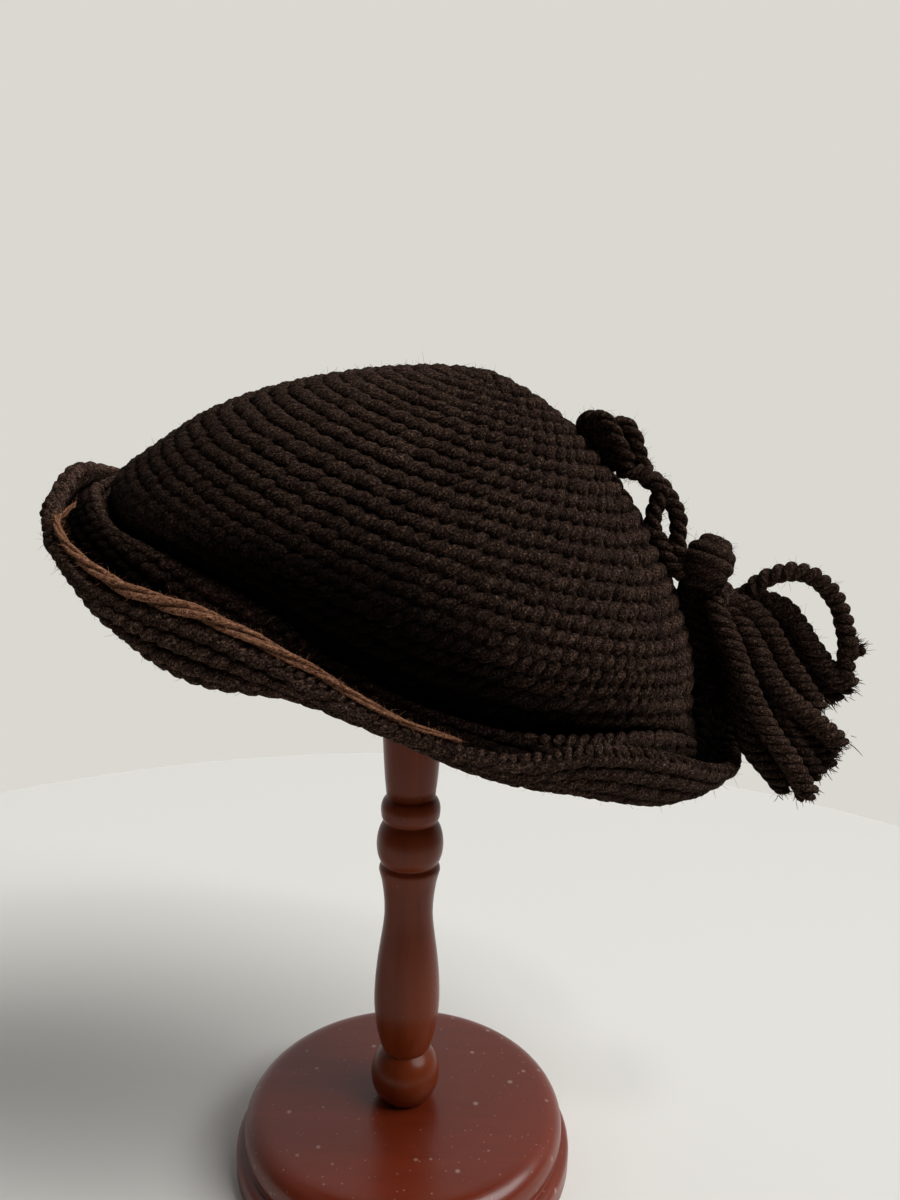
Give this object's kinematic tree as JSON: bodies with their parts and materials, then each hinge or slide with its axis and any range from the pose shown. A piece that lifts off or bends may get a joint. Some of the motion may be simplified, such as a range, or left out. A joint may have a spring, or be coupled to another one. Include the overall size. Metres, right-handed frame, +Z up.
{
  "type": "crocheted hat on a wooden hat stand",
  "caption": "Domed crocheted wool hat with a wavy turned-up brim, tan edging and a corded tassel at the back, resting on a turned wooden hat stand.",
  "frame": {"origin": "centre of the flat underside of the stand's base, on the floor", "axes": "+Z up along the stand's spindle, -X towards the raised front of the hat, +X towards the tassel at its back, -Y towards the side seen in the picture"},
  "size_m": [0.299, 0.1727, 0.3039],
  "materials": {
    "yarn_brown": "matte wool yarn, very dark brown",
    "yarn_tan": "matte wool yarn, tan",
    "wood_red": "red-brown lacquer, glossy"
  },
  "bodies": {
    "root": {"crown": "yarn_brown", "brim": "yarn_brown", "edging": "yarn_tan", "knot": "yarn_brown", "tie": "yarn_brown", "ball": "yarn_brown", "tassel": "yarn_brown", "stand_base": "wood_red", "stand_spindle": "wood_red", "stand_top": "wood_red"}
  },
  "joints": []
}
